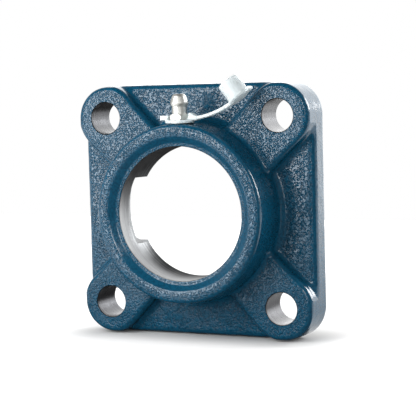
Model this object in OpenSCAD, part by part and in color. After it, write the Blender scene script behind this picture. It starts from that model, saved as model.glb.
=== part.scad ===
// Square flange bearing housing with a grease nipple and a dust cap on a strap.
// The origin lies on the bore axis in the mounting face. The hub points along -Y, and Z is up.

/* [Flange] */
// Side of the square flange
flange_w = 95; // [90:0.5:105]
// Distance between the bolt hole centres
bolt_spacing = 70; // [64:0.5:74]
// Diameter of the bolt holes
bolt_hole_d = 12; // [8:0.5:14]
// Thickness of the flange between the ribs
flange_t = 8.6; // [7:0.1:10]
// Rounding of the flange's front edge
flange_edge_r = 2; // [0.5:0.1:3]
// Rounding of the flange's back edge
back_edge_r = 1.2; // [0.3:0.1:2]

/* [Ribs] */
// Width of the ribs at their foot, a little under that of their round ends
rib_w = 24.4; // [18:0.2:24.8]
// Height of the rib tops above the mounting face
rib_top = 14; // [12.5:0.1:17]
// Draft of the rib sides in degrees
rib_draft = 4; // [0:0.5:8]
// Rounding of the ribs' top edges
rib_edge_r = 1.6; // [0.5:0.1:2]
// Fillet at the foot of the ribs
rib_foot_r = 2; // [0.5:0.1:2.5]

/* [Hub] */
// Depth of the housing from the mounting face to the hub's front
hub_depth = 27; // [25.5:0.5:32]
// Outer diameter of the hub at its foot
hub_d = 68; // [66:0.5:72]
// Draft of the hub's wall in degrees
hub_draft = 4; // [0:0.5:6]
// Rounding of the hub's front edge
hub_edge_r = 1.5; // [0.5:0.1:2]
// Fillet at the foot of the hub
hub_foot_r = 3; // [1:0.1:4]
// Fillet between the hub and the rib tops
hub_rib_r = 1.5; // [0.5:0.1:3]

/* [Bearing seat] */
// Diameter of the spherical seat
seat_d = 52; // [50:0.5:54]
// Distance of the seat's centre from the mounting face
seat_h = 16; // [15:0.5:17]
// Width of the machined seat
seat_w = 16.6; // [14:0.2:18]
// Width of the flat ledge in front of the seat
ledge_w = 1.3; // [0.5:0.1:2]
// Diameter of the recess where it opens in the hub's front
recess_d = 57; // [55:0.5:60]
// Diameter of the cast relief behind the seat
relief_d = 55; // [53:0.5:57]
// Diameter of the cast relief in the mounting face
relief_back_d = 57; // [55:0.5:62]
// Height of the two loading slots
slot_w = 25; // [18:0.5:30]
// Distance of the loading slots' floor from the mounting face
slot_h = 14.5; // [12:0.5:16]
// Diameter across the loading slots in the mounting face, where they are widest
slot_back_d = 66; // [60:0.5:70]

/* [Grease nipple] */
// Distance of the nipple's axis from the mounting face
nipple_h = 21.6; // [19:0.1:22]
// Depth of the spot face under the nipple
spot_depth = 0.1; // [0:0.05:0.5]
// Diameter of the grease hole from the thread to the seat
grease_hole_d = 3; // [2:0.1:4]
// Diameter of the thread
thread_d = 6; // [5:0.5:6.5]
// Length of the thread below the hexagon
thread_l = 6.5; // [5:0.5:8]
// Hexagon across its flats
hex_af = 7; // [6.5:0.5:8]
// Height of the hexagon
hex_t = 1.95; // [1.5:0.05:3]
// Chamfer of the hexagon's top corners
hex_chamfer = 0.4; // [0.1:0.05:0.5]
// Chamfer at the thread's end
thread_chamfer = 0.6; // [0.2:0.1:1]
// Diameter of the neck
neck_d = 5.5; // [4.5:0.1:6]
// Height of the neck
neck_l = 2.85; // [2:0.05:4]
// Largest diameter of the head
head_d = 6.5; // [6:0.1:7]
// Height of the head
head_l = 4.55; // [4:0.05:5.5]
// Height of the flare under the head's widest part
head_flare = 0.9; // [0.4:0.1:1.4]
// Height of the head's widest part
head_band = 0.7; // [0.3:0.1:1.4]
// Diameter of the flat on top of the head
head_top_d = 3.8; // [3:0.1:4.4]
// Bevel round the flat on top of the head
head_crown = 0.7; // [0.3:0.1:0.9]
// Diameter of the grease passage
passage_d = 2.7; // [2.5:0.1:3.2]
// Diameter of the inlet in the head and of the outlet in the thread's end
inlet_d = 1.5; // [1:0.1:1.8]
// Length of the inlet and of the outlet
inlet_l = 0.8; // [0.5:0.1:1.2]
// Bevel at the inlet's mouth
inlet_rim = 0.3; // [0.1:0.05:0.4]

/* [Check valve] */
// Diameter of the check ball
ball_d = 2.3; // [2:0.1:2.4]
// Diameter of the spring's wire
wire_d = 0.35; // [0.25:0.05:0.5]
// Turns of the spring
spring_turns = 9; // [6:1:12]
// Room between the spring and the passage's wall
coil_play = 0.3; // [0.1:0.05:0.4]

/* [Dust cap] */
// Outer diameter of the ring under the hexagon
ring_d = 10.7; // [10:0.1:12]
// Thickness of the ring
ring_t = 1.15; // [0.8:0.05:1.6]
// Width of the strap
strap_w = 3.3; // [2.5:0.1:4.5]
// Thickness of the strap and of the cup's floor
strap_t = 1.15; // [0.8:0.05:1.4]
// Radius of the strap's curve on its underside
strap_r = 34; // [30:0.5:40]
// Distance of the strap curve's lowest point from the nipple's axis
strap_x = 2.9; // [2:0.1:3.6]
// Angle along the strap's curve to its bend next to the ring
bend_near = 10.8; // [9:0.1:13]
// Angle along the strap's curve to its bend next to the cup
bend_far = 22.4; // [20:0.1:26]
// Angle along the strap's curve to the cup's axis
cup_at = 39; // [37:0.5:44]
// Thickness of the cup's wall
cup_wall = 0.6; // [0.4:0.05:1]
// Reach of the cup below the nipple's head when it is on
cup_skirt = 2; // [1:0.1:2.5]
// Reach of the pull tab past the cup
pull_l = 1.3; // [0.6:0.1:3]
// Reach of the ring's lug past the ring
lug_l = 2.1; // [1:0.1:2.5]
// Height of the lug above the ring
lug_t = 1.6; // [0.8:0.1:2.5]
// Width of the lug
lug_w = 2.6; // [1.5:0.1:4]
// Height of the gusset above the ring
gusset_t = 2.5; // [1.2:0.1:3]
// Length of the gusset's foot along the strap
gusset_foot = 3.2; // [2:0.1:3.4]
// Length of the gusset's flat top
gusset_top = 0.6; // [0.2:0.1:1.5]

/* [Clearances] */
// Gap round the nipple's thread
thread_gap = 0.02; // [0.01:0.01:0.1]
// Gap above and below the dust cap's ring
ring_gap = 0.03; // [0.01:0.01:0.1]
// Gap between the ring and the nipple's shank
ring_play = 0.08; // [0.02:0.01:0.15]
// Gap between the ring and the wall of the spot face
spot_play = 0.35; // [0.1:0.05:0.6]
// Room below the thread's end
thread_room = 0.5; // [0.2:0.1:1]
// Gap between the closed check ball and its cone
ball_gap = 0.03; // [0.01:0.01:0.1]
// Gap at the spring's two ends
spring_gap = 0.03; // [0.01:0.01:0.1]
// Gap between the stretches of the strap at each bend
bend_gap = 0.06; // [0.02:0.01:0.2]
// Gap between the cup and the nipple's head when it is on
cup_play = 0.35; // [0.2:0.05:0.6]
// Gap between the hexagon's corners and what stands on the ring
hex_play = 0.2; // [0.1:0.05:0.4]

/* [Hidden] */
$fn = 96;

// Overshoot of the cuts, and how far shapes of one solid sink into each other
past = 1;
root_sink = 0.2;
fillet_sink = 0.5;
// Fillets and rounded edges lie this much off tangent, so they meet their faces at a definite edge
fillet_dip = 0.05;

// Casting
corner_r = (flange_w - bolt_spacing) / 2;
rib_wall_h = flange_t - flange_edge_r;
seat_r = seat_d / 2;
seat_front = seat_h + seat_w / 2;
seat_back = seat_h - seat_w / 2;
seat_edge_r = sqrt(seat_r * seat_r - seat_w * seat_w / 4);
ledge_r = seat_edge_r + ledge_w;
bolt_places = [for (x = [-1, 1], y = [-1, 1]) [x, y] * bolt_spacing / 2];

// Nipple, from the spot face up and from the hexagon down
spot_z = hub_r(nipple_h) - spot_depth;
ring_z = spot_z + ring_gap;
ring_top = ring_z + ring_t;
hex_z = ring_top + ring_gap;
neck_z = hex_z + hex_t;
head_z = neck_z + neck_l;
nipple_top = head_z + head_l;
thread_end = hex_z - thread_l;
thread_r = thread_d / 2 - thread_gap;
hex_corner_r = hex_af / sqrt(3);

// Check valve: the ball closes the cone under the inlet
cone_top = nipple_top - inlet_l;
cone_h = (passage_d - inlet_d) / 2;
cone_z = cone_top - cone_h;
ball_z = cone_top + inlet_d / 2 - (ball_d / 2 + ball_gap) * sqrt(2);
spring_stop = thread_end + inlet_l;
coil_r = passage_d / 2 - wire_d / 2 - coil_play;
coil_low = spring_stop + wire_d / 2 + spring_gap;
ball_reach = ball_d / 2 + wire_d / 2 + spring_gap;
coil_high = ball_z - sqrt(ball_reach * ball_reach - coil_r * coil_r);
coil_steps = 12;
wire_sides = 8;

// Dust cap: height of the strap curve's centre, and where the strap starts
curve_z = ring_top - root_sink + strap_r;
root_x = hex_corner_r + hex_play;
root_a = asin((root_x + root_sink - strap_x) / strap_r);
half_gap_a = bend_gap / 2 / strap_r * 180 / PI;
cup_bore_r = head_d / 2 + cup_play;
cup_r = cup_bore_r + cup_wall;
cup_l = strap_t + head_l + cup_skirt;

// Housing

// Turns shapes drawn with their height along Z so that the height runs along -Y
module stand_up() {
    rotate([90, 0, 0]) children();
}

// Moves shapes drawn about the Z axis to the nipple's axis
module at_nipple() {
    translate([0, -nipple_h, 0]) children();
}

// Half section of the flange, from its middle out to reach
module flange_half(reach) {
    translate([0, back_edge_r]) square([reach, flange_t - flange_edge_r - back_edge_r]);
    square([reach - back_edge_r, rib_wall_h]);
    square([reach - flange_edge_r, flange_t]);
    translate([reach - flange_edge_r, flange_t - flange_edge_r]) circle(flange_edge_r);
    translate([reach - back_edge_r, back_edge_r]) circle(back_edge_r);
}

// Half section of a drafted wall of half width w at height low, rounded at its top edge
module drafted_half(w, low, top, draft, edge_r) {
    centre_h = top - edge_r;
    centre_u = w - (centre_h - low) * tan(draft) - edge_r / cos(draft);
    polygon([
        [0, back_edge_r],
        [w, back_edge_r],
        [w, low],
        [centre_u + edge_r * cos(draft), centre_h + edge_r * sin(draft)],
        [centre_u, top],
        [0, top]
    ]);
    translate([centre_u, centre_h]) circle(edge_r);
}

// Section of a hollow fillet between a drafted wall and a floor at height h;
// wall_u is the wall's place at the height of the fillet's centre
module fillet_section(wall_u, h, draft, r) {
    centre = [wall_u + r / cos(draft) - fillet_dip, h + r - fillet_dip];
    touch = centre - r * [cos(draft), sin(draft)];
    difference() {
        polygon([
            [touch[0] - fillet_sink, h - fillet_sink],
            [centre[0], h - fillet_sink],
            centre,
            touch,
            [touch[0] - fillet_sink, touch[1]]
        ]);
        translate(centre) circle(r);
    }
}

// Half section of a rib of half width w, or of its round end of radius w, a little over its height
module rib_half(w) {
    drafted_half(w, rib_wall_h, rib_top + fillet_dip, rib_draft, rib_edge_r);
}

// Half width at height h of a rib of half width w at its foot
function rib_half_w(w, h) = w - (h - rib_wall_h) * tan(rib_draft);

// Radius of the hub at height h
function hub_r(h) = hub_d / 2 - (h - flange_t) * tan(hub_draft);

// Extrudes a half section and its mirror image along X
module bar(length) {
    rotate([90, 0, 90]) linear_extrude(length, center = true) {
        children();
        mirror([1, 0]) children();
    }
}

// Turns a half section about the axis of each bolt hole
module corners() {
    for (p = bolt_places) {
        translate(p) rotate_extrude() children();
    }
}

// The four ribs are two bars across the diagonals, and the corners are the rounds at their ends
module diagonals() {
    for (turn = [45, 135]) {
        rotate(turn) bar(bolt_spacing * sqrt(2)) children();
    }
}

module flange() {
    for (turn = [0, 90]) {
        rotate(turn) bar(bolt_spacing) flange_half(flange_w / 2);
    }
    corners() flange_half(corner_r);
}

// Plan of the flange between the corner rounds, where the ribs have a foot
module foot_plan() {
    for (turn = [0, 90]) {
        rotate(turn) translate([-bolt_spacing / 2, -flange_w / 2, 0])
            cube([bolt_spacing, flange_w, rib_top]);
    }
}

module rib_foot(w) {
    fillet_section(rib_half_w(w, flange_t + rib_foot_r), flange_t, rib_draft, rib_foot_r);
}

// One plane cuts the tops of the ribs and of their round ends to the same height
module ribs() {
    intersection() {
        union() {
            diagonals() rib_half(rib_w / 2);
            corners() rib_half(corner_r);
        }
        translate([-flange_w, -flange_w, 0]) cube([2 * flange_w, 2 * flange_w, rib_top]);
    }
    diagonals() rib_foot(rib_w / 2);
    intersection() {
        foot_plan();
        corners() rib_foot(corner_r);
    }
}

module hub() {
    rotate_extrude() drafted_half(hub_d / 2, flange_t, hub_depth, hub_draft, hub_edge_r);
    rotate_extrude() fillet_section(hub_r(flange_t + hub_foot_r), flange_t, hub_draft, hub_foot_r);
    intersection() {
        rotate_extrude() fillet_section(hub_r(rib_top + hub_rib_r), rib_top, hub_draft, hub_rib_r);
        diagonals() square([rib_half_w(rib_w / 2, rib_top) - rib_edge_r, hub_depth]);
    }
}

// Half section of the bore: front recess, spherical seat and cast relief
module bore_half() {
    polygon([
        [0, seat_front],
        [ledge_r, seat_front],
        [recess_d / 2, hub_depth],
        [recess_d / 2, hub_depth + past],
        [0, hub_depth + past]
    ]);
    intersection() {
        translate([0, seat_h]) circle(seat_r);
        translate([0, seat_back]) square([seat_r, seat_w]);
    }
    polygon([
        [0, -past],
        [relief_back_d / 2, -past],
        [relief_back_d / 2, 0],
        [relief_d / 2, seat_back],
        [0, seat_back]
    ]);
}

// The bearing is put in square to its seat through these two slots, which flare to the back, and then turned
module loading_slots() {
    intersection() {
        rotate_extrude() polygon([
            [0, -past],
            [slot_back_d / 2, -past],
            [slot_back_d / 2, 0],
            [relief_d / 2, slot_h],
            [0, slot_h]
        ]);
        translate([-slot_back_d, -slot_w / 2, -past]) cube([2 * slot_back_d, slot_w, slot_h + past]);
    }
}

module nipple_hole() {
    floor_z = thread_end - thread_room;
    at_nipple() {
        cylinder(h = spot_z, d = grease_hole_d);
        translate([0, 0, floor_z]) cylinder(h = spot_z + past - floor_z, d = thread_d);
        translate([0, 0, spot_z]) cylinder(h = hub_d, r = ring_d / 2 + spot_play);
    }
}

module housing() {
    color([0.04, 0.2, 0.32]) difference() {
        stand_up() {
            flange();
            ribs();
            hub();
        }
        stand_up() {
            rotate_extrude() bore_half();
            loading_slots();
            for (p = bolt_places) {
                translate([p[0], p[1], -past]) cylinder(h = rib_top + 2 * past, d = bolt_hole_d);
            }
        }
        nipple_hole();
    }
}

// Grease nipple with its check valve

module nipple_half() {
    polygon([
        [0, thread_end],
        [thread_r - thread_chamfer, thread_end],
        [thread_r, thread_end + thread_chamfer],
        [thread_r, hex_z],
        [neck_d / 2, hex_z],
        [neck_d / 2, head_z],
        [head_d / 2, head_z + head_flare],
        [head_d / 2, head_z + head_flare + head_band],
        [head_top_d / 2 + head_crown, nipple_top - head_crown],
        [head_top_d / 2, nipple_top],
        [0, nipple_top]
    ]);
}

// Half section of the grease passage, with the cone that the ball closes
module passage_half() {
    polygon([
        [0, thread_end - past],
        [inlet_d / 2, thread_end - past],
        [inlet_d / 2, spring_stop],
        [passage_d / 2, spring_stop],
        [passage_d / 2, cone_z],
        [inlet_d / 2, cone_top],
        [inlet_d / 2, nipple_top - inlet_rim],
        [inlet_d / 2 + inlet_rim, nipple_top],
        [inlet_d / 2 + inlet_rim, nipple_top + past],
        [0, nipple_top + past]
    ]);
}

module hexagon() {
    intersection() {
        translate([0, 0, hex_z]) cylinder(h = hex_t, r = hex_corner_r, $fn = 6);
        rotate_extrude() polygon([
            [0, hex_z],
            [hex_corner_r, hex_z],
            [hex_corner_r, neck_z - hex_chamfer],
            [hex_corner_r - hex_chamfer, neck_z],
            [0, neck_z]
        ]);
    }
}

module grease_nipple() {
    color("silver") at_nipple() difference() {
        union() {
            rotate_extrude() nipple_half();
            hexagon();
        }
        rotate_extrude() passage_half();
    }
}

module check_ball() {
    color("gainsboro") at_nipple() translate([0, 0, ball_z]) sphere(d = ball_d);
}

// Points of the spring's wire: one ring of wire_sides points for each step along the coil
function coil_turn(i) = 360 * i / coil_steps;
function coil_out(i) = [cos(coil_turn(i)), sin(coil_turn(i)), 0];
function coil_rise(i) = coil_low + (coil_high - coil_low) * i / (spring_turns * coil_steps);
function coil_place(i) = coil_out(i) * coil_r + [0, 0, coil_rise(i)];
function wire_point(i, s) = coil_place(i)
    + coil_out(i) * cos(360 * s / wire_sides) * wire_d / 2
    + [0, 0, sin(360 * s / wire_sides) * wire_d / 2];

module check_spring() {
    last = spring_turns * coil_steps;
    rings = [for (i = [0:last], s = [0:wire_sides - 1]) wire_point(i, s)];
    sides = [for (i = [0:last - 1], s = [0:wire_sides - 1])
        let (n = (s + 1) % wire_sides, a = i * wire_sides, b = a + wire_sides)
        [a + s, b + s, b + n, a + n]];
    ends = [
        [for (s = [0:wire_sides - 1]) s],
        [for (s = [0:wire_sides - 1]) last * wire_sides + wire_sides - 1 - s]
    ];
    color("dimgray") at_nipple() polyhedron(rings, concat(sides, ends), convexity = 10);
}

// Dust cap: one moulding, in three stretches that meet where the strap bends

// Extrudes a section drawn in X and Z to the strap's width, or to the width w
module across(w = strap_w) {
    at_nipple() rotate([90, 0, 0]) linear_extrude(w, center = true) children();
}

// Section of the strap between two angles along its curve
module strap_section(from, to) {
    wedge_r = strap_r * 1.5;
    translate([strap_x, curve_z]) intersection() {
        difference() {
            circle(strap_r, $fn = 360);
            circle(strap_r - strap_t, $fn = 360);
        }
        polygon([[0, 0], [sin(from), -cos(from)] * wedge_r, [sin(to), -cos(to)] * wedge_r]);
    }
}

// Block from the ring's top that carries the strap clear of the hexagon
module gusset_section() {
    polygon([
        [root_x, ring_top - root_sink],
        [root_x + gusset_foot, ring_top - root_sink],
        [root_x + gusset_foot, ring_top + strap_t - root_sink],
        [root_x + gusset_top, ring_top + gusset_t],
        [root_x, ring_top + gusset_t]
    ]);
}

module lug_section() {
    translate([-ring_d / 2 - lug_l, ring_top - root_sink])
        square([ring_d / 2 + lug_l - root_x, lug_t + root_sink]);
}

module cap_ring() {
    color("whitesmoke") union() {
        at_nipple() translate([0, 0, ring_z]) difference() {
            cylinder(h = ring_t, d = ring_d);
            translate([0, 0, -past]) cylinder(h = ring_t + 2 * past, r = thread_d / 2 + ring_play);
        }
        across() gusset_section();
        across() strap_section(root_a, bend_near - half_gap_a);
        across(lug_w) lug_section();
    }
}

module cap_strap() {
    color("whitesmoke") across() strap_section(bend_near + half_gap_a, bend_far - half_gap_a);
}

module cap_cup() {
    color("whitesmoke") union() {
        across() strap_section(bend_far + half_gap_a, cup_at);
        at_nipple() translate([strap_x, 0, curve_z]) rotate([0, -cup_at, 0]) translate([0, 0, -strap_r]) {
            difference() {
                cylinder(h = cup_l, r = cup_r);
                translate([0, 0, strap_t]) cylinder(h = cup_l, r = cup_bore_r);
            }
            difference() {
                translate([0, -strap_w / 2, 0]) cube([cup_r + pull_l, strap_w, strap_t]);
                translate([0, 0, strap_t]) cylinder(h = cup_l, r = cup_bore_r);
            }
        }
    }
}

housing();
grease_nipple();
check_ball();
check_spring();
cap_ring();
cap_strap();
cap_cup();
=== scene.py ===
import math
import bmesh
import bpy
import numpy as np
from mathutils import Matrix, Vector


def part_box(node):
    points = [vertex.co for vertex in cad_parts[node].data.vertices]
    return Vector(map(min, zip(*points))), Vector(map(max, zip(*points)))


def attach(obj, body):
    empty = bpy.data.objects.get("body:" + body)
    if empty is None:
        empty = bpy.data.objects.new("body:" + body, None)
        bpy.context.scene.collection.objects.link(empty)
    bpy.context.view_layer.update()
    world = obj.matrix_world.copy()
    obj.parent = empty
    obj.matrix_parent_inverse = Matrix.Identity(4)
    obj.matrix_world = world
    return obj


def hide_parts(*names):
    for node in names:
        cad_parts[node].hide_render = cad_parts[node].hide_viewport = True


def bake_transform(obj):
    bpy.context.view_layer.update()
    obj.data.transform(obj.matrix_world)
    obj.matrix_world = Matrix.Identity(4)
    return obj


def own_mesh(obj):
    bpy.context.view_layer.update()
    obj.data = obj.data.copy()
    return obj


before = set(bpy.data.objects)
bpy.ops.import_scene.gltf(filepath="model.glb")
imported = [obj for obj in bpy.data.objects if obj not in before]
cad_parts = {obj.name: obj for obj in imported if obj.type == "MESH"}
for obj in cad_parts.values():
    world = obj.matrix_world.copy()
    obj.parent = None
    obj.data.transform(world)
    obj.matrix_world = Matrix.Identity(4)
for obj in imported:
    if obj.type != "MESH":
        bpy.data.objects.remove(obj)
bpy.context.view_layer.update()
scene = bpy.context.scene
scene.view_settings.view_transform = "Standard"
mm = 0.001
perMm = 1 / mm  # scale of a pattern with features about 1 mm apart

# Camera: angles in degrees, lengths in mm, matched to the photograph's frame of 416 pixels.
view = {"yaw": 24.85, "pitch": 4.97, "roll": -1.515, "distance": 518.5, "right": 0.351, "up": 0.048,
        "focalPixels": 1365.7, "imagePixels": 416, "sensor": 36.0, "clip": 10.0}


def makeCamera():
    yaw, pitch, roll = (math.radians(view[k]) for k in ("yaw", "pitch", "roll"))
    back = Vector((math.sin(yaw) * math.cos(pitch), -math.cos(yaw) * math.cos(pitch), math.sin(pitch)))
    side = Vector((math.cos(yaw), math.sin(yaw), 0))
    top = back.cross(side)
    right = math.cos(roll) * side + math.sin(roll) * top
    up = math.cos(roll) * top - math.sin(roll) * side
    place = (back * view["distance"] + right * view["right"] + up * view["up"]) * mm
    data = bpy.data.cameras.new("photoCamera")
    data.sensor_width = view["sensor"]
    data.lens = view["sensor"] * view["focalPixels"] / view["imagePixels"]
    data.clip_start = view["clip"] * mm
    cam = bpy.data.objects.new("photoCamera", data)
    cam.matrix_world = Matrix.Translation(place) @ Matrix((right, up, back)).transposed().to_4x4()
    scene.collection.objects.link(cam)
    scene.camera = cam


makeCamera()
print("camera ready")


# Materials: pattern sizes and reliefs are in mm.

def linear(hexColour):
    parts = [int(hexColour[i:i + 2], 16) / 255 for i in (1, 3, 5)]
    return [c / 12.92 if c <= 0.04045 else ((c + 0.055) / 1.055) ** 2.4 for c in parts] + [1.0]


def addNode(tree, kind, inputs=None, **settings):
    new = tree.nodes.new(kind)
    for key, value in settings.items():
        setattr(new, key, value)
    for key, value in (inputs or {}).items():
        if isinstance(value, bpy.types.NodeSocket):
            tree.links.new(value, new.inputs[key])
        else:
            new.inputs[key].default_value = value
    return new


def fromTo(ends):
    return {"From Min": ends[0], "From Max": ends[1]}


def newMaterial(name):
    made = bpy.data.materials.new(name)
    made.use_nodes = True
    made.node_tree.nodes.clear()
    return made, made.node_tree


def finishMaterial(tree, shader):
    addNode(tree, "ShaderNodeOutputMaterial", {"Surface": shader.outputs[0]})


# Alkyd enamel sprayed on sand-cast grey iron: a glossy dark blue coat that follows every grain of the mould,
# so flat faces sparkle with small reflections and rounded edges stay deep blue. The sand's grain is drawn a
# little coarser than the real one, so that it shows.
enamel = {"deep": "#05354b", "thin": "#094660", "cover": (0.3, 1.6), "grain": 0.74, "pits": (0.36, 0.58),
          "lump": 6.0, "lumpShare": 0.8, "patch": 16.0, "patches": (0.36, 0.56), "smoothPatch": 0.7,
          "relief": 0.30, "edgeRelief": 0.05, "frontTurn": (0.86, 0.985), "sideRelief": 0.10,
          "sideTurn": (0.93, 0.995), "plate": 8.6, "rough": 0.11, "roughSpread": 0.07, "index": 1.52}


def makeEnamel():
    e = enamel
    made, tree = newMaterial("blueAlkydEnamelOnCastIron")
    place = addNode(tree, "ShaderNodeTexCoord")
    here = place.outputs["Object"]
    grain = addNode(tree, "ShaderNodeTexNoise", {"Vector": here, "Scale": perMm / e["grain"], "Detail": 2.0})
    lump = addNode(tree, "ShaderNodeTexNoise", {"Vector": here, "Scale": perMm / e["lump"], "Detail": 2.0})
    # sand grains leave small flats with steep sides between them
    flats = addNode(tree, "ShaderNodeMapRange", {"Value": grain.outputs["Fac"], **fromTo(e["pits"])},
                    interpolation_type="SMOOTHSTEP")
    height = addNode(tree, "ShaderNodeMath", {0: lump.outputs["Fac"], 1: e["lumpShare"], 2: flats.outputs[0]},
                     operation="MULTIPLY_ADD")
    # flat faces keep the sand's grain, and the paint ran smooth over the rounded edges
    facing = addNode(tree, "ShaderNodeVectorMath", {0: place.outputs["Normal"]}, operation="ABSOLUTE")
    facing = addNode(tree, "ShaderNodeSeparateXYZ", {0: facing.outputs[0]})
    front = addNode(tree, "ShaderNodeMapRange", {"Value": facing.outputs["Y"], **fromTo(e["frontTurn"])})
    side = addNode(tree, "ShaderNodeMath", {0: facing.outputs["X"], 1: facing.outputs["Z"]}, operation="MAXIMUM")
    side = addNode(tree, "ShaderNodeMapRange", {"Value": side.outputs[0], **fromTo(e["sideTurn"]),
                                                "To Max": e["sideRelief"]})
    depth = addNode(tree, "ShaderNodeSeparateXYZ", {0: here})
    plate = addNode(tree, "ShaderNodeMath", {0: depth.outputs["Y"], 1: -e["plate"] * mm},
                    operation="GREATER_THAN")
    side = addNode(tree, "ShaderNodeMath", {0: side.outputs[0], 1: plate.outputs[0]}, operation="MULTIPLY")
    flat = addNode(tree, "ShaderNodeMath", {0: front.outputs[0], 1: side.outputs[0]}, operation="MAXIMUM")
    # the coat is thicker in some places, and fills the grain there
    patch = addNode(tree, "ShaderNodeTexNoise", {"Vector": here, "Scale": perMm / e["patch"], "Detail": 1.0})
    patch = addNode(tree, "ShaderNodeMapRange", {"Value": patch.outputs["Fac"], **fromTo(e["patches"]),
                                                 "To Min": e["smoothPatch"], "To Max": 1.0})
    strength = addNode(tree, "ShaderNodeMapRange", {"Value": flat.outputs[0], "To Min": e["edgeRelief"],
                                                    "To Max": patch.outputs[0]})
    bump = addNode(tree, "ShaderNodeBump", {"Strength": strength.outputs[0], "Distance": e["relief"] * mm,
                                            "Height": height.outputs[0]})
    # paint gathers between the grains and is thinner on top of them
    cover = addNode(tree, "ShaderNodeMath", {0: lump.outputs["Fac"], 1: flats.outputs[0]}, operation="ADD")
    cover = addNode(tree, "ShaderNodeMapRange", {"Value": cover.outputs[0], **fromTo(e["cover"])})
    colour = addNode(tree, "ShaderNodeMix", {0: cover.outputs[0], 6: linear(e["deep"]), 7: linear(e["thin"])},
                     data_type="RGBA")
    rough = addNode(tree, "ShaderNodeMapRange", {"Value": grain.outputs["Fac"], "To Min": e["rough"],
                                                 "To Max": e["rough"] + e["roughSpread"]})
    shader = addNode(tree, "ShaderNodeBsdfPrincipled", {"Base Color": colour.outputs[2], "IOR": e["index"],
                                                        "Roughness": rough.outputs[0], "Normal": bump.outputs[0]})
    finishMaterial(tree, shader)
    return made


# Grey iron, bared by a tool or left as cast: dull grey metal. Boring leaves fine rings round the seat, a drill
# leaves rougher ones, facing leaves circles on the mounting face, and the cast walls are dark and grainy.
# bored and drilled iron are drawn darker than the metal is: its own dark grey plus painted shade inside the bore and
# holes
drilled = {"pale": "#525356", "dark": "#343537", "pitch": 0.9, "relief": 0.09, "rough": 0.28, "patch": 3.0}
bored = {"pale": "#6c6e6f", "dark": "#48494b", "pitch": 0.7, "relief": 0.02, "rough": 0.34, "patch": 6.0}
faced = {"pale": "#a09f9c", "dark": "#7a7a78", "pitch": 1.1, "relief": 0.015, "rough": 0.36, "patch": 9.0}
asCast = {"pale": "#626568", "dark": "#474a4d", "pitch": 1.0, "relief": 0.12, "rough": 0.48, "patch": 5.0}
iron = {"bump": 0.7, "tones": (0.6, 1.4), "smoother": 0.08, "rougher": 0.10}


def makeIron(name, look, kind):
    made, tree = newMaterial(name)
    here = addNode(tree, "ShaderNodeTexCoord").outputs["Object"]
    if kind == "grain":
        marks = addNode(tree, "ShaderNodeTexNoise", {"Vector": here, "Scale": perMm / look["pitch"], "Detail": 2.0})
    else:  # tool marks round the bore's axis, uneven, drawn coarser than real ones so that they show
        along = (0, 1, 0) if kind == "bands" else (1, 0, 1)
        across = addNode(tree, "ShaderNodeVectorMath", {0: here, 1: along}, operation="MULTIPLY")
        across = addNode(tree, "ShaderNodeVectorMath", {0: across.outputs[0]}, operation="LENGTH")
        marks = addNode(tree, "ShaderNodeTexNoise", {"W": across.outputs["Value"], "Scale": perMm / look["pitch"],
                                                     "Detail": 3.0}, noise_dimensions="1D")
    patch = addNode(tree, "ShaderNodeTexNoise", {"Vector": here, "Scale": perMm / look["patch"], "Detail": 4.0})
    bump = addNode(tree, "ShaderNodeBump", {"Strength": iron["bump"], "Distance": look["relief"] * mm,
                                            "Height": marks.outputs["Fac"]})
    tone = addNode(tree, "ShaderNodeMath", {0: patch.outputs["Fac"], 1: marks.outputs["Fac"]}, operation="ADD")
    tone = addNode(tree, "ShaderNodeMapRange", {"Value": tone.outputs[0], **fromTo(iron["tones"])})
    colour = addNode(tree, "ShaderNodeMix", {0: tone.outputs[0], 6: linear(look["dark"]),
                                             7: linear(look["pale"])}, data_type="RGBA")
    rough = addNode(tree, "ShaderNodeMapRange", {"Value": patch.outputs["Fac"],
                                                 "To Min": look["rough"] - iron["smoother"],
                                                 "To Max": look["rough"] + iron["rougher"]})
    shader = addNode(tree, "ShaderNodeBsdfPrincipled", {"Base Color": colour.outputs[2], "Metallic": 1.0,
                                                        "Roughness": rough.outputs[0], "Normal": bump.outputs[0]})
    finishMaterial(tree, shader)
    return made


# Zinc-plated turned steel: bright and smooth, with faint lathe lines round the axis.
zinc = {"pale": "#dadad6", "dark": "#c4c4bf", "pitch": 0.3, "relief": 0.004, "rough": 0.45, "patch": 2.5}
# Hardened steel ball and drawn spring wire inside the nipple.
steel = {"pale": "#c9c9c8", "dark": "#b2b2b1", "pitch": 0.4, "relief": 0.001, "rough": 0.14, "patch": 1.0}
wire = {"pale": "#8f8f8e", "dark": "#6d6d6c", "pitch": 0.4, "relief": 0.002, "rough": 0.30, "patch": 0.8}
# All three: the wave scale puts lines 1 mm apart.
turnedSteel = {"waveScale": 100 * math.pi, "waver": 0.6, "bump": 0.6, "smoother": 0.04, "rougher": 0.08}


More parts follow.
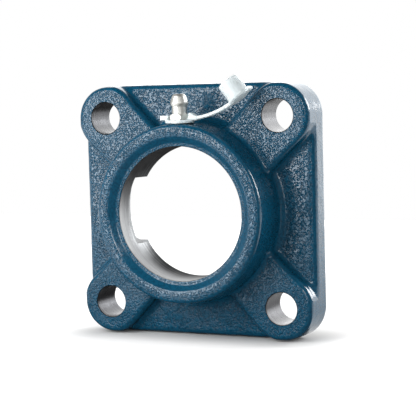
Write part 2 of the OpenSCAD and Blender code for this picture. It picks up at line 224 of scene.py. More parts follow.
def makeTurnedSteel(name, look):
    made, tree = newMaterial(name)
    here = addNode(tree, "ShaderNodeTexCoord").outputs["Object"]
    lines = addNode(tree, "ShaderNodeTexWave", {"Vector": here, "Scale": turnedSteel["waveScale"] / look["pitch"],
                                                "Distortion": turnedSteel["waver"], "Detail": 1.0},
                    bands_direction="Z")
    patch = addNode(tree, "ShaderNodeTexNoise", {"Vector": here, "Scale": perMm / look["patch"], "Detail": 3.0})
    bump = addNode(tree, "ShaderNodeBump", {"Strength": turnedSteel["bump"], "Distance": look["relief"] * mm,
                                            "Height": lines.outputs["Fac"]})
    colour = addNode(tree, "ShaderNodeMix", {0: patch.outputs["Fac"], 6: linear(look["dark"]),
                                             7: linear(look["pale"])}, data_type="RGBA")
    rough = addNode(tree, "ShaderNodeMapRange", {"Value": patch.outputs["Fac"],
                                                 "To Min": look["rough"] - turnedSteel["smoother"],
                                                 "To Max": look["rough"] + turnedSteel["rougher"]})
    shader = addNode(tree, "ShaderNodeBsdfPrincipled", {"Base Color": colour.outputs[2], "Metallic": 1.0,
                                                        "Roughness": rough.outputs[0], "Normal": bump.outputs[0]})
    finishMaterial(tree, shader)
    return made


# Natural polyethylene, injection moulded: milky white, light bleeds through thin walls, soft satin shine.
polythene = {"pale": "#cdd6d8", "dark": "#bdc8cb", "bleed": 3.0, "cloud": 3.0, "grain": 0.5, "relief": 0.01,
             "bump": 0.5, "rough": (0.32, 0.46), "index": 1.51}


def makePolythene():
    p = polythene
    made, tree = newMaterial("naturalPolyethylene")
    here = addNode(tree, "ShaderNodeTexCoord").outputs["Object"]
    cloud = addNode(tree, "ShaderNodeTexNoise", {"Vector": here, "Scale": perMm / p["cloud"], "Detail": 3.0})
    grain = addNode(tree, "ShaderNodeTexNoise", {"Vector": here, "Scale": perMm / p["grain"], "Detail": 1.0})
    bump = addNode(tree, "ShaderNodeBump", {"Strength": p["bump"], "Distance": p["relief"] * mm,
                                            "Height": grain.outputs["Fac"]})
    colour = addNode(tree, "ShaderNodeMix", {0: cloud.outputs["Fac"], 6: linear(p["dark"]),
                                             7: linear(p["pale"])}, data_type="RGBA")
    rough = addNode(tree, "ShaderNodeMapRange", {"Value": cloud.outputs["Fac"], "To Min": p["rough"][0],
                                                 "To Max": p["rough"][1]})
    shader = addNode(tree, "ShaderNodeBsdfPrincipled", {"Base Color": colour.outputs[2], "IOR": p["index"],
                                                        "Roughness": rough.outputs[0], "Normal": bump.outputs[0],
                                                        "Subsurface Weight": 1.0,
                                                        "Subsurface Scale": p["bleed"] * mm,
                                                        "Subsurface Radius": (1.0, 1.0, 1.0)})
    finishMaterial(tree, shader)
    return made


paint = makeEnamel()
boredIron = makeIron("boredGreyIron", bored, "bands")
drilledIron = makeIron("drilledGreyIron", drilled, "bands")
facedIron = makeIron("facedGreyIron", faced, "rings")
castIron = makeIron("sandCastGreyIron", asCast, "grain")
zincSteel = makeTurnedSteel("zincPlatedSteel", zinc)
ballSteel = makeTurnedSteel("hardenedBallSteel", steel)
springSteel = makeTurnedSteel("drawnSpringSteel", wire)
milkyPlastic = makePolythene()
print("materials ready")


# Shapes from distance fields, in mm.

def rounded(a, b, r):
    # both at once, with the edge between them rounded
    return np.minimum(np.maximum(a, b), -r) + np.hypot(np.maximum(a + r, 0), np.maximum(b + r, 0))


def filleted(a, b, r):
    # either one, with a hollow fillet between them
    return np.maximum(np.minimum(a, b), r) - np.hypot(np.maximum(r - a, 0), np.maximum(r - b, 0))


def smoothStep(a, b, v):
    t = np.clip((v - a) / (b - a), 0, 1)
    return t * t * (3 - 2 * t)


def slopeOf(field, p):
    reach = 0.02
    g = [(field(*(p + step).T) - field(*(p - step).T)) / (2 * reach) for step in np.eye(3) * reach]
    return np.stack(g, 1)


def skinOf(field, low, high, step, passes=3):
    # closed net of quads over the surface where the field is zero
    axes = [np.arange(a, b + step, step) for a, b in zip(low, high)]
    values = field(*np.meshgrid(*axes, indexing="ij"))
    inside = values < 0
    near = [slice(None, -1), slice(1, None)]
    corners = sum(inside[near[i], near[j], near[k]].astype(np.int8)
                  for i in (0, 1) for j in (0, 1) for k in (0, 1))
    cells = np.argwhere((corners > 0) & (corners < 8))
    number = np.full(corners.shape, -1)
    number[tuple(cells.T)] = np.arange(len(cells))
    total = np.zeros((len(cells), 3))
    hits = np.zeros(len(cells))
    unit = np.eye(3, dtype=int)
    quads = []
    for axis in range(3):
        u, v = (axis + 1) % 3, (axis + 2) % 3
        for i in (0, 1):
            for j in (0, 1):
                start = cells + i * unit[u] + j * unit[v]
                a = values[tuple(start.T)]
                b = values[tuple((start + unit[axis]).T)]
                cross = (a < 0) != (b < 0)
                share = a[cross] / (a[cross] - b[cross])
                total[cross] += start[cross] + share[:, None] * unit[axis]
                hits[cross] += 1
        first = np.take(inside, range(inside.shape[axis] - 1), axis)
        second = np.take(inside, range(1, inside.shape[axis]), axis)
        at = np.argwhere(first != second)
        ring = [number[tuple((at - m * unit[u] - n * unit[v]).T)]
                for m, n in ((1, 1), (0, 1), (0, 0), (1, 0))]
        quad = np.stack(ring, 1)
        turn = ~first[tuple(at.T)]
        quad[turn] = quad[turn][:, ::-1]
        quads.append(quad)
    quads = np.concatenate(quads)
    points = np.array(low) + step * total / hits[:, None]
    ends = np.concatenate([quads[:, [0, 1]], quads[:, [1, 2]], quads[:, [2, 3]], quads[:, [3, 0]]])
    count = np.bincount(ends[:, 0], minlength=len(points))[:, None]
    for turn in range(passes):
        if turn:  # even out the net along the surface
            total = [np.bincount(ends[:, 0], points[ends[:, 1], k], len(points)) for k in range(3)]
            points += (np.stack(total, 1) / count - points) / 2
        for again in range(2):  # put every point on the surface
            g = slopeOf(field, points)
            d = field(*points.T)
            points -= np.clip(d / (g * g).sum(1), -step / 2, step / 2)[:, None] * g
    return points, quads


def makePiece(name, points, faces, materials, indices=None):
    mesh = bpy.data.meshes.new(name)
    mesh.from_pydata((np.asarray(points) * mm).tolist(), [], [list(f) for f in faces])
    for m in materials:
        mesh.materials.append(m)
    if indices is not None:
        mesh.polygons.foreach_set("material_index", indices)
    piece = bpy.data.objects.new(name, mesh)
    scene.collection.objects.link(piece)
    tidyNormals(piece)
    return piece


def tidyNormals(piece, sharpAngle=33):
    work = bmesh.new()
    work.from_mesh(piece.data)
    bmesh.ops.recalc_face_normals(work, faces=work.faces)
    for f in work.faces:
        f.smooth = True
    limit = math.radians(sharpAngle)
    for e in work.edges:
        e.smooth = len(e.link_faces) != 2 or e.calc_face_angle(0) < limit
    work.to_mesh(piece.data)
    work.free()


# Turned shapes: rows of (radius, height, material), one row after another round the axis.
def turned(name, rows, place, materials, steps=128, closed=False, acrossFlats=None):
    points, faces, indices = [], [], []
    rings = []
    for radius, height, kind, *hexed in rows:
        ring = []
        for s in range(1 if radius == 0 else steps):
            angle = 2 * math.pi * s / steps
            r = radius
            if hexed and acrossFlats:
                r = min(r, acrossFlats / 2 / math.cos((angle % (math.pi / 3)) - math.pi / 6))
            ring.append(len(points))
            points.append(place @ Vector((r * math.cos(angle), r * math.sin(angle), height)))
        rings.append(ring)
    pairs = list(zip(rings, rings[1:])) + ([(rings[-1], rings[0])] if closed else [])
    for (a, b), row in zip(pairs, rows):
        for s in range(steps):
            n = (s + 1) % steps
            face = [a[s % len(a)], a[n % len(a)], b[n % len(b)], b[s % len(b)]]
            face = [v for i, v in enumerate(face) if v not in face[:i]]
            if len(face) > 2:
                faces.append(face)
                indices.append(row[2])
    return makePiece(name, points, faces, materials, indices)


def softened(corners, steps=5):
    # rows of a profile, with each corner rounded from the given distance on
    rows = []
    for i, (r, z, soft, *rest) in enumerate(corners):
        here = Vector((r, z))
        before = (Vector(corners[i - 1][:2]) - here).normalized() * soft
        after = (Vector(corners[(i + 1) % len(corners)][:2]) - here).normalized() * soft
        for k in range(steps + 1 if soft else 1):
            t = k / steps
            p = here + before * (1 - t) ** 2 + after * t ** 2
            rows.append((p.x, p.y, *rest))
    return rows


def cutBy(piece, cutter):
    change = piece.modifiers.new("cut", "BOOLEAN")
    change.operation = "DIFFERENCE"
    change.solver = "MANIFOLD"
    change.material_mode = "TRANSFER"
    change.object = cutter
    bpy.context.view_layer.update()
    result = bpy.data.meshes.new_from_object(piece.evaluated_get(bpy.context.evaluated_depsgraph_get()))
    piece.modifiers.clear()
    old = piece.data
    piece.data = result
    result.name = piece.name
    bpy.data.meshes.remove(old)
    bpy.data.objects.remove(cutter)


def dress(piece, body, slot, *nodes):
    if nodes:
        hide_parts(*nodes)
    if body:
        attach(piece, body)


# Housing casting: the solid's sizes in mm, with softer edges and a rim that leans in slightly.
casting = {"boltAt": 35.0, "cornerRound": 12.5, "flangeThick": 8.6, "frontEdge": 2.5, "backEdge": 1.2,
           "rimLean": 0.06, "ribHalf": 12.2, "ribTop": 14.0, "ribWallFrom": 6.6, "ribDraft": 4.0, "ribEdge": 2.1,
           "ribFoot": 2.0, "ribSwell": 9.0, "hubDepth": 27.0, "hubRadius": 34.0, "hubDraft": 4.0, "hubEdge": 1.8,
           "hubFoot": 3.0, "hubRib": 1.5, "facing": 0.3,
           "netLow": (-48.9, -28.3, -48.9), "netHigh": (48.9, 1.6, 48.9), "step": 0.55,
           "wave": 0.014, "waveLength": 7.0, "waves": 40, "waveSeed": 5,
           "ripple": 0.008, "rippleLength": 3.0, "ripples": 60, "rippleSeed": 6, "lengths": (0.7, 1.4)}


def castingField(x, y, z):
    c = casting
    h = -y
    qx, qz = np.abs(x) - c["boltAt"], np.abs(z) - c["boltAt"]
    outline = np.hypot(np.maximum(qx, 0), np.maximum(qz, 0)) + np.minimum(np.maximum(qx, qz), 0)
    # the pattern's draft, so that it leaves the sand
    outline = outline - c["cornerRound"] + c["rimLean"] * np.maximum(h, 0)
    plate = h - c["flangeThick"]
    flange = rounded(outline, plate, c["frontEdge"])
    lean = np.tan(np.radians(c["ribDraft"])) * np.maximum(h - c["ribWallFrom"], 0)
    reach = c["boltAt"] * math.sqrt(2)
    ribs = None
    for sign in (-1, 1):
        along, across = np.abs(x + sign * z) / math.sqrt(2), (x - sign * z) / math.sqrt(2)
        half = c["ribHalf"] + (c["cornerRound"] - c["ribHalf"]) * smoothStep(reach - c["ribSwell"], reach, along)
        wall = np.hypot(np.maximum(along - reach, 0), across) - half + lean
        rib = rounded(np.maximum(wall, outline), h - c["ribTop"], c["ribEdge"])
        ribs = rib if ribs is None else np.minimum(ribs, rib)
    axis = np.hypot(x, z)
    hubWall = axis - c["hubRadius"] + np.tan(np.radians(c["hubDraft"])) * (h - c["flangeThick"])
    hub = rounded(hubWall, h - c["hubDepth"], c["hubEdge"])
    upper = filleted(hub, ribs, c["hubRib"])
    feet = np.minimum(filleted(plate, ribs, c["ribFoot"]), filleted(plate, hub, c["hubFoot"]))
    body = np.minimum(np.minimum(flange, upper), rounded(feet, outline, c["frontEdge"]))
    return rounded(body, -h - c["facing"], c["backEdge"])


def ripples(points, length, count, seed):
    # even mix of waves in all directions, the same each run
    draw = np.random.default_rng(seed)
    way = draw.normal(size=(count, 3))
    spread = draw.uniform(*casting["lengths"], count)
    way *= (2 * math.pi / length * spread / np.linalg.norm(way, axis=1))[:, None]
    return np.sin(points @ way.T + draw.uniform(0, 2 * math.pi, count)).sum(1) * math.sqrt(2 / count)


bore = {"seatRadius": 26.0, "seatAt": 16.0, "seatHalf": 8.3, "lip": 0.15, "reliefRadius": 27.5, "reliefBack": 28.5,
        "ledgeRadius": 25.94, "ledgeRise": 0.25, "ledgeCorner": 0.5, "mouth": 28.5, "dish": 0.2, "mouthEdge": 1.0,
        "holeRadius": 6.0, "holeLip": 0.3, "slotHalf": 12.5, "slotFloor": 14.5, "slotBack": 33.0, "slotCorner": 1.5,
        "slotInner": 8.0, "over": 3.0, "steps": 240, "arcSteps": 24, "holeSteps": 96, "slotSteps": 40}
nippleHole = {"grease": 1.5, "greaseFrom": 20.0, "thread": 3.0, "threadFrom": 27.2, "face": 5.7, "faceAt": 32.99,
              "top": 37.0, "steps": 64}
toFront = Matrix(((1, 0, 0), (0, 0, -1), (0, 1, 0))).to_4x4()  # an axis along Z turned to run along -Y
nippleY = -21.6
nippleAxis = Matrix.Translation((0, nippleY, 0))


def makeCasting():
    points, quads = skinOf(castingField, casting["netLow"], casting["netHigh"], casting["step"])
    g = slopeOf(castingField, points)
    g /= np.linalg.norm(g, axis=1)[:, None]
    push = casting["wave"] * ripples(points, casting["waveLength"], casting["waves"], casting["waveSeed"])
    push += casting["ripple"] * ripples(points, casting["rippleLength"], casting["ripples"], casting["rippleSeed"])
    # nothing stands out past the solid's faces
    push -= 2 * (casting["wave"] + casting["ripple"])
    points = points + np.minimum(push, 0.0)[:, None] * g
    piece = makePiece("castHousing", points, quads, [paint])
    print("casting net", len(quads), "quads")

    b = bore
    half = b["seatHalf"]
    seatEdge = math.sqrt(b["seatRadius"] ** 2 - half ** 2)
    front = b["seatAt"] + half
    back = b["seatAt"] - half
    over = b["over"]
    top = casting["hubDepth"]
    corners = [(0, -over, 0, 0), (b["reliefBack"], -over, 0, 2), (b["reliefBack"], 0, 0, 2),
               (b["reliefRadius"], back, 0, 1)]
    arc = math.asin(half / b["seatRadius"])
    for i in range(b["arcSteps"]):
        a = -arc + 2 * arc * i / b["arcSteps"]
        corners.append((b["seatRadius"] * math.cos(a), b["seatAt"] + b["seatRadius"] * math.sin(a), 0, 1))
    # bare chamfer, painted ledge and cone, and a face that falls slightly towards the mouth
    corners += [(seatEdge, front - b["lip"], 0, 1), (seatEdge + b["lip"], front, 0, 0),
                (b["ledgeRadius"], front + b["ledgeRise"], b["ledgeCorner"], 0),
                (b["mouth"], top - b["dish"], b["mouthEdge"], 0), (b["mouth"] + over, top, 0, 0),
                (b["mouth"] + over, top + over, 0, 0), (0, top + over, 0, 0)]
    cutBy(piece, turned("boreCutter", softened(corners), toFront, [paint, boredIron, castIron], b["steps"]))

    flare = (b["slotBack"] - b["reliefRadius"]) / b["slotFloor"]
    for side in (-1, 1):
        corners = []
        for h in (-over, b["slotFloor"]):
            reach = b["reliefRadius"] + flare * (b["slotFloor"] - h)
            corners.append((b["slotInner"], -h, b["slotHalf"]))
            for i in range(b["slotSteps"] + 1):
                z = b["slotHalf"] * (1 - 2 * i / b["slotSteps"])
                past = max(abs(z) - b["slotHalf"] + b["slotCorner"], 0)
                inset = b["slotCorner"] - math.sqrt(b["slotCorner"] ** 2 - past ** 2)
                corners.append((math.sqrt(reach ** 2 - z ** 2) - inset, -h, z))
            corners.append((b["slotInner"], -h, -b["slotHalf"]))
        n = len(corners) // 2
        corners = [(side * x, y, z) for x, y, z in corners]
        faces = [list(range(n)), list(range(n, 2 * n))]
        faces += [[i, (i + 1) % n, n + (i + 1) % n, n + i] for i in range(n)]
        cutBy(piece, makePiece("slotCutter", corners, faces, [castIron]))

    for x in (-1, 1):
        for z in (-1, 1):
            top = casting["ribTop"]
            rows = [(0, -over, 0), (b["holeRadius"], -over, 0), (b["holeRadius"], top - b["holeLip"], 0),
                    (b["holeRadius"] + 2 * b["holeLip"], top + b["holeLip"], 0),
                    (b["holeRadius"] + 2 * b["holeLip"], top + over, 0), (0, top + over, 0)]
            place = Matrix.Translation((x * casting["boltAt"], 0, z * casting["boltAt"])) @ toFront
            cutBy(piece, turned("holeCutter", rows, place, [drilledIron], b["holeSteps"]))

    wide, deep = 60.0, 5.0  # larger than the flange and than what is left for facing
    square = ((-wide, -wide), (wide, -wide), (wide, wide), (-wide, wide))
    slab = [(x, y, z) for y in (0.0, deep) for x, z in square]
    sides = [[0, 1, 2, 3], [4, 5, 6, 7]] + [[i, (i + 1) % 4, 4 + (i + 1) % 4, 4 + i] for i in range(4)]
    cutBy(piece, makePiece("facingCutter", slab, sides, [facedIron]))

    n = nippleHole
    rows = [(0, n["greaseFrom"], 0), (n["grease"], n["greaseFrom"], 0), (n["grease"], n["threadFrom"], 0),
            (n["thread"], n["threadFrom"], 0), (n["thread"], n["faceAt"], 0), (n["face"], n["faceAt"], 0),
            (n["face"], n["top"], 0), (0, n["top"], 0)]
    cutBy(piece, turned("nippleCutter", rows, nippleAxis, [drilledIron], n["steps"]))
    tidyNormals(piece)
    dress(piece, "housing", "blue_paint", "housing")
    print("casting cut:", len(piece.data.polygons), "faces", [m.name for m in piece.data.materials])


makeCasting()


# Grease nipple: turned in one piece, with its hexagon, neck, head and grease passage.
nipple = {"threadEnd": 27.70, "threadRadius": 2.98, "threadEdge": 0.6, "hexFrom": 34.20, "hexTo": 36.15,
          "acrossFlats": 7.0, "hexUnder": 0.3, "hexUnderRise": 0.2, "hexEdge": 0.4, "neck": 2.75, "neckFoot": 0.25,
          "neckTop": 0.12, "headFrom": 39.0, "head": 3.25, "headFlare": 0.9, "flareSoft": 0.4, "headBand": 1.6,
          "bandSoft": 0.5, "headTop": 43.55, "shoulder": 0.7, "shoulderSoft": 0.6, "topFlat": 1.9, "topSoft": 0.4,
          "passage": 1.35, "inlet": 0.75, "inletEdge": 0.3, "coneTop": 42.75, "coneDrop": 0.6, "springStop": 28.5,
          "steps": 96, "sharpAngle": 24}


def makeNipple():
    n = nipple
    corner = n["acrossFlats"] / math.sqrt(3)
    corners = [(n["inlet"], n["threadEnd"], 0, 0), (n["threadRadius"] - n["threadEdge"], n["threadEnd"], 0, 0),
               (n["threadRadius"], n["threadEnd"] + n["threadEdge"], 0, 0), (n["threadRadius"], n["hexFrom"], 0, 0),
               (corner - n["hexUnder"], n["hexFrom"], 0, 0, 1), (corner, n["hexFrom"] + n["hexUnderRise"], 0, 0, 1),
               (corner, n["hexTo"] - n["hexEdge"], 0, 0, 1), (corner - n["hexEdge"], n["hexTo"], 0, 0, 1),
               (n["neck"], n["hexTo"], n["neckFoot"], 0), (n["neck"], n["headFrom"], n["neckTop"], 0),
               (n["head"], n["headFrom"] + n["headFlare"], n["flareSoft"], 0),
               (n["head"], n["headFrom"] + n["headBand"], n["bandSoft"], 0),
               (n["topFlat"] + n["shoulder"], n["headTop"] - n["shoulder"], n["shoulderSoft"], 0),
               (n["topFlat"], n["headTop"], n["topSoft"], 0),
               (n["inlet"] + n["inletEdge"], n["headTop"], 0, 0), (n["inlet"], n["headTop"] - n["inletEdge"], 0, 0),
               (n["inlet"], n["coneTop"], 0, 0), (n["passage"], n["coneTop"] - n["coneDrop"], 0, 0),
               (n["passage"], n["springStop"], 0, 0), (n["inlet"], n["springStop"], 0, 0)]
    piece = turned("greaseNipple", softened(corners), nippleAxis, [zincSteel], n["steps"], True, n["acrossFlats"])
    tidyNormals(piece, n["sharpAngle"])
    dress(piece, "housing", "zinc_plated_steel", "grease_nipple")


makeNipple()
print("nipple ready")

# Check valve inside the nipple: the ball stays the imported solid, the spring is wound from round wire.
coil = {"wire": 0.175, "radius": 0.875, "turns": 9, "steps": 24, "sides": 10, "fixedAt": 28.5}


def makeSpring():
    low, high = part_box("check_spring")
    bottom, top = low.z / mm + coil["wire"], high.z / mm - coil["wire"]
    rings, faces = [], []
    total = coil["turns"] * coil["steps"]
    for i in range(total + 1):
        a = 2 * math.pi * i / coil["steps"]
        out = Vector((math.cos(a), math.sin(a), 0))
        middle = out * coil["radius"] + Vector((0, nippleY, bottom + (top - bottom) * i / total))
        for s in range(coil["sides"]):
            b = 2 * math.pi * s / coil["sides"]
            rings.append(middle + coil["wire"] * (out * math.cos(b) + Vector((0, 0, math.sin(b)))))
    for i in range(total):
        for s in range(coil["sides"]):
            a, n = i * coil["sides"], (s + 1) % coil["sides"]
            faces.append([a + s, a + n, a + coil["sides"] + n, a + coil["sides"] + s])
    faces += [list(range(coil["sides"])), [total * coil["sides"] + s for s in range(coil["sides"])]]
    piece = makePiece("checkSpring", rings, faces, [springSteel])
    dress(piece, "housing", "spring_steel", "check_spring")
    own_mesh(piece)


makeSpring()
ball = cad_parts["check_ball"]
ball.data.materials.clear()
ball.data.materials.append(ballSteel)
for polygon in ball.data.polygons:
    polygon.use_smooth = True
print("valve ready")

# Dust cap: one moulding in two pieces that meet in the middle of the strap, where nothing bends.
cap = {"axisY": nippleY, "curveX": 2.9, "curveZ": 67.97, "curveR": 34.0, "thick": 1.15, "strapHalf": 1.65,
       "strapSoft": 0.28, "strapFrom": 1.6, "strapFillet": 1.0, "seam": 16.6,
       "ringZ": 33.02, "ringTop": 34.17, "ringRadius": 5.35, "ringHole": 3.08, "ringSoft": 0.3, "holeSoft": 0.15,
       "sunk": 0.15, "rootX": 4.24, "hexClear": 0.02, "gussetTop": 2.5, "gussetFlat": 0.6, "gussetSlope": 0.62,
       "gussetShare": 0.85, "gussetFoot": 3.2, "gussetSoft": 0.3, "gussetFillet": 0.6,
       "lugReach": 7.45, "lugHalf": 1.3, "lugTop": 1.6, "lugSoft": 0.3, "lugFillet": 0.3,
       "cupAt": 39.0, "cupRadius": 4.2, "cupBore": 3.6, "cupLength": 7.7, "cupFoot": 1.0, "cupTaper": 0.02,
       "taperFrom": 1.5, "cupSoft": 0.28, "boreSoft": 0.4, "rimSoft": 0.22, "cupFillet": 0.5,
       "pull": 5.5, "pullSoft": 0.3, "pullFillet": 0.4, "bendNear": 10.8, "bendFar": 22.4, "bendHalf": 2.4,
       "ringLow": (-8.0, -5.9, 32.6), "ringHigh": (13.5, 5.9, 38.0),
       "cupLow": (11.5, -4.8, 34.9), "cupHigh": (30.6, 4.8, 51.2), "step": 0.17}


def box3(a, b, c, ha, hb, hc, r):
    qa, qb, qc = np.abs(a) - ha + r, np.abs(b) - hb + r, np.abs(c) - hc + r
    out = np.sqrt(np.maximum(qa, 0) ** 2 + np.maximum(qb, 0) ** 2 + np.maximum(qc, 0) ** 2)
    return out + np.minimum(np.maximum(qa, np.maximum(qb, qc)), 0) - r


def strapField(x, y, z, start, end):
    # arc of the strap between two angles along its curve
    c = cap
    dx, dz = x - c["curveX"], c["curveZ"] - z
    middle = c["curveR"] - c["thick"] / 2
    angle = np.degrees(np.arctan2(dx, dz))
    across = rounded(np.abs(np.hypot(dx, dz) - middle) - c["thick"] / 2, np.abs(y - c["axisY"]) - c["strapHalf"],
                     c["strapSoft"])
    along = np.maximum(np.radians(start - angle), np.radians(angle - end)) * middle
    return np.maximum(across, along)


def ringField(x, y, z):
    c = cap
    axis = np.hypot(x, y - c["axisY"])
    middle = (c["ringZ"] + c["ringTop"]) / 2
    slab = np.abs(z - middle) - (c["ringTop"] - c["ringZ"]) / 2
    ring = rounded(axis - c["ringRadius"], slab, c["ringSoft"])
    strap = strapField(x, y, z, c["strapFrom"], c["seam"])
    # wedge that carries the strap up past the hexagon
    top, foot = c["ringTop"] + c["gussetTop"], c["ringTop"] - c["sunk"]
    rise = (z - top) + c["gussetSlope"] * np.maximum(x - c["rootX"] - c["gussetFlat"], 0)
    ends = np.maximum(x - c["rootX"] - c["gussetFoot"], np.maximum(c["rootX"] - x, foot - z))
    wedge = rounded(np.maximum(ends, rise * c["gussetShare"]), np.abs(y - c["axisY"]) - c["strapHalf"],
                    c["gussetSoft"])
    # small lug on the other side
    high = c["ringTop"] + c["lugTop"]
    lug = box3(x + (c["lugReach"] + c["rootX"]) / 2, y - c["axisY"], z - (foot + high) / 2,
               (c["lugReach"] - c["rootX"]) / 2, c["lugHalf"], (high - foot) / 2, c["lugSoft"])
    body = filleted(filleted(ring, strap, c["strapFillet"]), wedge, c["gussetFillet"])
    body = filleted(body, lug, c["lugFillet"])
    body = rounded(body, c["ringHole"] - axis, c["holeSoft"])
    # nothing reaches in over the ring where the hexagon sits
    hexRoom = np.maximum(axis - c["rootX"] + c["hexClear"], c["ringTop"] - z)
    return np.maximum(body, -hexRoom)


def cupField(x, y, z):
    c = cap
    turn = math.radians(c["cupAt"])
    dx, dz = x - c["curveX"], z - c["curveZ"]
    side = dx * math.cos(turn) + dz * math.sin(turn)
    up = -dx * math.sin(turn) + dz * math.cos(turn) + c["curveR"]
    off = y - c["axisY"]
    axis = np.hypot(side, off)
    taper = c["cupTaper"] * np.maximum(up - c["taperFrom"], 0)
    wall = axis - c["cupRadius"] + taper
    outer = rounded(rounded(wall, -up, c["cupFoot"]), up - c["cupLength"], c["cupSoft"])
    hollow = rounded(axis - c["cupBore"] + taper, c["thick"] - up, c["boreSoft"])
    tab = box3(side - c["pull"] / 2, off, up - c["thick"] / 2, c["pull"] / 2, c["strapHalf"], c["thick"] / 2,
               c["pullSoft"])
    strap = strapField(x, y, z, c["seam"], c["cupAt"])
    body = filleted(filleted(outer, strap, c["cupFillet"]), tab, c["pullFillet"])
    return rounded(body, -hollow, c["rimSoft"])


def makeCap():
    room = {k: (cap[k][0], nippleY + cap[k][1], cap[k][2]) for k in ("ringLow", "ringHigh", "cupLow", "cupHigh")}
    points, quads = skinOf(ringField, room["ringLow"], room["ringHigh"], cap["step"])
    ring = makePiece("dustCapRing", points, quads, [milkyPlastic])
    points, quads = skinOf(cupField, room["cupLow"], room["cupHigh"], cap["step"])
    cup = makePiece("dustCapCup", points, quads, [milkyPlastic])
    dress(ring, None, "cap_plastic", "cap_ring", "cap_strap")
    dress(cup, None, "cap_plastic", "cap_cup")
    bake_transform(ring)
    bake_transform(cup)
    print("cap ready:", len(ring.data.polygons), len(cup.data.polygons), "faces")


makeCap()

# Floor, light panels and world: floorAt in mm, other lengths in m. The floor glows less at the object's foot,
# so that the lamps' shadow shows, and right at the foot its glow falls almost to nothing: a painted contact shadow.
studio = {"floorAt": -47.5, "floorSize": 3.0, "floorBack": 0.42, "floorColour": "#c4c4c4", "mirroredShadowColour": "#585858",
          "footAt": (0, -0.0045, 0), "footHalf": (0.037, 0.003, 1), "footShadowGlow": 0.02, "glowNear": 0.56,
          "nearEnd": 0.025, "glowFar": 1.0, "farFrom": 0.40, "shadeAt": (-0.12, 0.12), "behind": (0.12, 0.25),
          "front": (0.045, 0.11), "lampSide": (0.03, -0.04), "ambient": 0.35, "room": 0.20, "ceiling": 0.10,
          "wall": (0.0, 0.9), "overhead": (0.50, 0.95)}
panels = [
    # name, direction from the object, distance m, width m, height m, radiance
    ("keyPanel", (-0.46, -0.83, 0.33), 0.34, 0.23, 0.30, 7.0),
    ("frontStrip", (0.52, -0.80, 0.29), 0.80, 0.15, 0.35, 8.0),
    ("sidePanel", (0.68, 0.62, 0.38), 0.90, 0.50, 0.40, 11.0),
    ("backPanel", (0.12, 0.95, 0.28), 1.20, 1.80, 1.00, 1.9),
]


def rayKinds(tree):
    # rays from the camera, and rays by which metal, paint and plastic mirror the studio
    path = addNode(tree, "ShaderNodeLightPath")
    mirrored = addNode(tree, "ShaderNodeMath", {0: path.outputs["Is Glossy Ray"],
                                                1: path.outputs["Is Transmission Ray"]}, operation="MAXIMUM")
    return path.outputs["Is Camera Ray"], mirrored.outputs[0]


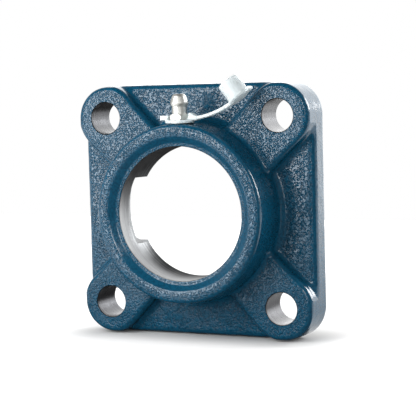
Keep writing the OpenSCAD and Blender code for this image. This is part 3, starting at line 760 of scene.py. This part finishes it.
def makeFloor():
    data = bpy.data.meshes.new("studioFloor")
    s, z, end = studio["floorSize"], studio["floorAt"] * mm, studio["floorBack"]
    data.from_pydata([(-s, -s, z), (s, -s, z), (s, end, z), (-s, end, z)], [], [[0, 1, 2, 3]])
    floor = bpy.data.objects.new("studioFloor", data)
    scene.collection.objects.link(floor)
    made, tree = newMaterial("whiteStudioFloor")
    seen, mirrored = rayKinds(tree)
    # distance from the object's foot
    here = addNode(tree, "ShaderNodeTexCoord").outputs["Object"]
    off = addNode(tree, "ShaderNodeVectorMath", {0: here, 1: studio["footAt"]}, operation="SUBTRACT")
    off = addNode(tree, "ShaderNodeVectorMath", {0: off.outputs[0]}, operation="ABSOLUTE")
    off = addNode(tree, "ShaderNodeVectorMath", {0: off.outputs[0], 1: studio["footHalf"]}, operation="SUBTRACT")
    off = addNode(tree, "ShaderNodeVectorMath", {0: off.outputs[0], 1: (0, 0, 0)}, operation="MAXIMUM")
    off = addNode(tree, "ShaderNodeVectorMath", {0: off.outputs[0]}, operation="LENGTH")
    # painted contact shadow: the floor's glow falls almost to nothing towards the object's foot
    near = addNode(tree, "ShaderNodeMapRange", {"Value": off.outputs["Value"], "From Min": 0.0,
                                                "From Max": studio["nearEnd"], "To Min": studio["footShadowGlow"],
                                                "To Max": studio["glowNear"]}, interpolation_type="SMOOTHSTEP")
    far = addNode(tree, "ShaderNodeMapRange", {"Value": off.outputs["Value"], "From Min": studio["nearEnd"],
                                               "From Max": studio["farFrom"],
                                               "To Max": studio["glowFar"] - studio["glowNear"]})
    white = addNode(tree, "ShaderNodeMath", {0: near.outputs[0], 1: far.outputs[0]}, operation="ADD")
    # in reflections the paper is painted: white behind the object away from a painted shadow round shadeAt, white in
    # front of it only on the key panel's side, a painted lit patch, and darker at its foot, a painted shadow
    away = addNode(tree, "ShaderNodeVectorMath", {0: here, 1: (*studio["shadeAt"], studio["floorAt"] * mm)},
                   operation="DISTANCE")
    sweep = addNode(tree, "ShaderNodeMapRange", {"Value": away.outputs["Value"], **fromTo(studio["behind"])},
                    interpolation_type="SMOOTHSTEP")
    depth = addNode(tree, "ShaderNodeSeparateXYZ", {0: here})
    behind = addNode(tree, "ShaderNodeMath", {0: depth.outputs["Y"], 1: 0.0}, operation="GREATER_THAN")
    front = addNode(tree, "ShaderNodeMapRange", {"Value": off.outputs["Value"], **fromTo(studio["front"])},
                    interpolation_type="SMOOTHSTEP")
    lit = addNode(tree, "ShaderNodeMapRange", {"Value": depth.outputs["X"], **fromTo(studio["lampSide"])})
    front = addNode(tree, "ShaderNodeMath", {0: front.outputs[0], 1: lit.outputs[0]}, operation="MULTIPLY")
    sweep = addNode(tree, "ShaderNodeMix", {0: behind.outputs[0], 2: front.outputs[0], 3: sweep.outputs[0]})
    shown = addNode(tree, "ShaderNodeMath", {0: mirrored, 1: sweep.outputs[0]}, operation="MULTIPLY")
    glow = addNode(tree, "ShaderNodeMath", {0: seen, 1: white.outputs[0], 2: shown.outputs[0]},
                   operation="MULTIPLY_ADD")
    light = addNode(tree, "ShaderNodeEmission", {"Strength": glow.outputs[0]})
    # glossy rays see the darker paper colour where the painted shadow lies
    dim = addNode(tree, "ShaderNodeMath", {0: mirrored, 1: shown.outputs[0]}, operation="SUBTRACT")
    shade = addNode(tree, "ShaderNodeMix", {0: dim.outputs[0], 6: linear(studio["floorColour"]),
                                            7: linear(studio["mirroredShadowColour"])}, data_type="RGBA")
    dull = addNode(tree, "ShaderNodeBsdfDiffuse", {"Color": shade.outputs[2]})
    both = addNode(tree, "ShaderNodeAddShader", {0: light.outputs[0], 1: dull.outputs[0]})
    finishMaterial(tree, both)
    data.materials.append(made)


def makePanels():
    for name, way, distance, width, height, radiance in panels:
        lamp = bpy.data.lights.new(name, "AREA")
        lamp.shape = "RECTANGLE"
        lamp.size, lamp.size_y = width, height
        lamp.energy = radiance * math.pi * width * height
        holder = bpy.data.objects.new(name, lamp)
        way = Vector(way).normalized()
        turn = way.to_track_quat("Z", "Y").to_matrix().to_4x4()
        holder.matrix_world = Matrix.Translation(way * distance) @ turn
        holder.visible_camera = False
        scene.collection.objects.link(holder)


def makeWorld():
    world = bpy.data.worlds.new("whiteStudio")
    scene.world = world
    world.use_nodes = True
    tree = world.node_tree
    tree.nodes.clear()
    seen, mirrored = rayKinds(tree)
    # metal and paint mirror a white wall behind the object, in a room that is dark in front and overhead
    way = addNode(tree, "ShaderNodeSeparateXYZ", {0: addNode(tree, "ShaderNodeTexCoord").outputs["Generated"]})
    wall = addNode(tree, "ShaderNodeMapRange", {"Value": way.outputs["Y"], **fromTo(studio["wall"]),
                                                "To Min": studio["room"], "To Max": 1.0})
    high = addNode(tree, "ShaderNodeMapRange", {"Value": way.outputs["Z"], **fromTo(studio["overhead"]),
                                                "To Min": 1.0, "To Max": studio["ceiling"]})
    around = addNode(tree, "ShaderNodeMath", {0: wall.outputs[0], 1: high.outputs[0]}, operation="MULTIPLY")
    around = addNode(tree, "ShaderNodeMix", {0: mirrored, 2: studio["ambient"], 3: around.outputs[0]})
    strength = addNode(tree, "ShaderNodeMath", {0: around.outputs[0], 1: seen}, operation="MAXIMUM")
    sky = addNode(tree, "ShaderNodeBackground", {"Color": (1, 1, 1, 1), "Strength": strength.outputs[0]})
    addNode(tree, "ShaderNodeOutputWorld", {"Surface": sky.outputs[0]})


makeFloor()
makePanels()
makeWorld()
print("studio ready")
